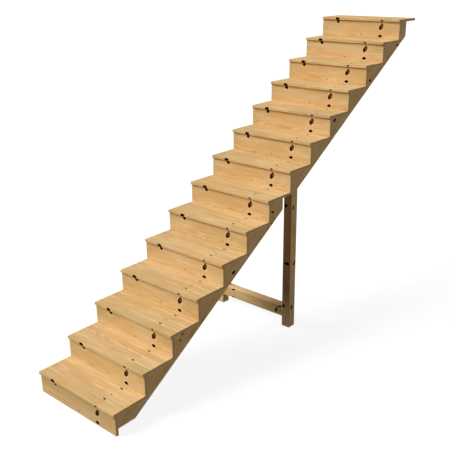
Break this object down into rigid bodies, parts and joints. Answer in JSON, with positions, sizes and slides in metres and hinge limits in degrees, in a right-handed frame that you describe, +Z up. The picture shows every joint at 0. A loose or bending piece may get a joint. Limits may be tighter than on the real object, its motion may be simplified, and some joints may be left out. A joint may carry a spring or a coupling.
{
  "type": "outdoor timber staircase",
  "caption": "Straight outdoor timber staircase with closed risers on two pairs of sawn strings, held up in the middle by a two-post trestle with a cross rail.",
  "frame": {"origin": "on the ground, at the middle of the stair's width and of its run", "axes": "+Z up, +Y the way the stair climbs, +X to the right of someone going up"},
  "size_m": [0.8, 3.745, 2.38],
  "materials": {
    "tread_boards": "planed knotty pine, unpainted",
    "riser_boards": "planed knotty pine, unpainted",
    "string_boards": "planed knotty pine, unpainted",
    "trestle_timber": "planed knotty pine, unpainted"
  },
  "bodies": {
    "root": {"tread_01": "tread_boards", "tread_02": "tread_boards", "tread_03": "tread_boards", "tread_04": "tread_boards", "tread_05": "tread_boards", "tread_06": "tread_boards", "tread_07": "tread_boards", "tread_08": "tread_boards", "tread_09": "tread_boards", "tread_10": "tread_boards", "tread_11": "tread_boards", "tread_12": "tread_boards", "tread_13": "tread_boards", "tread_14": "tread_boards", "riser_01": "riser_boards", "riser_02": "riser_boards", "riser_03": "riser_boards", "riser_04": "riser_boards", "riser_05": "riser_boards", "riser_06": "riser_boards", "riser_07": "riser_boards", "riser_08": "riser_boards", "riser_09": "riser_boards", "riser_10": "riser_boards", "riser_11": "riser_boards", "riser_12": "riser_boards", "riser_13": "riser_boards", "riser_14": "riser_boards", "lower_left_string": "string_boards", "lower_right_string": "string_boards", "upper_left_string": "string_boards", "upper_right_string": "string_boards", "left_post": "trestle_timber", "right_post": "trestle_timber", "cross_rail": "trestle_timber"}
  },
  "joints": []
}
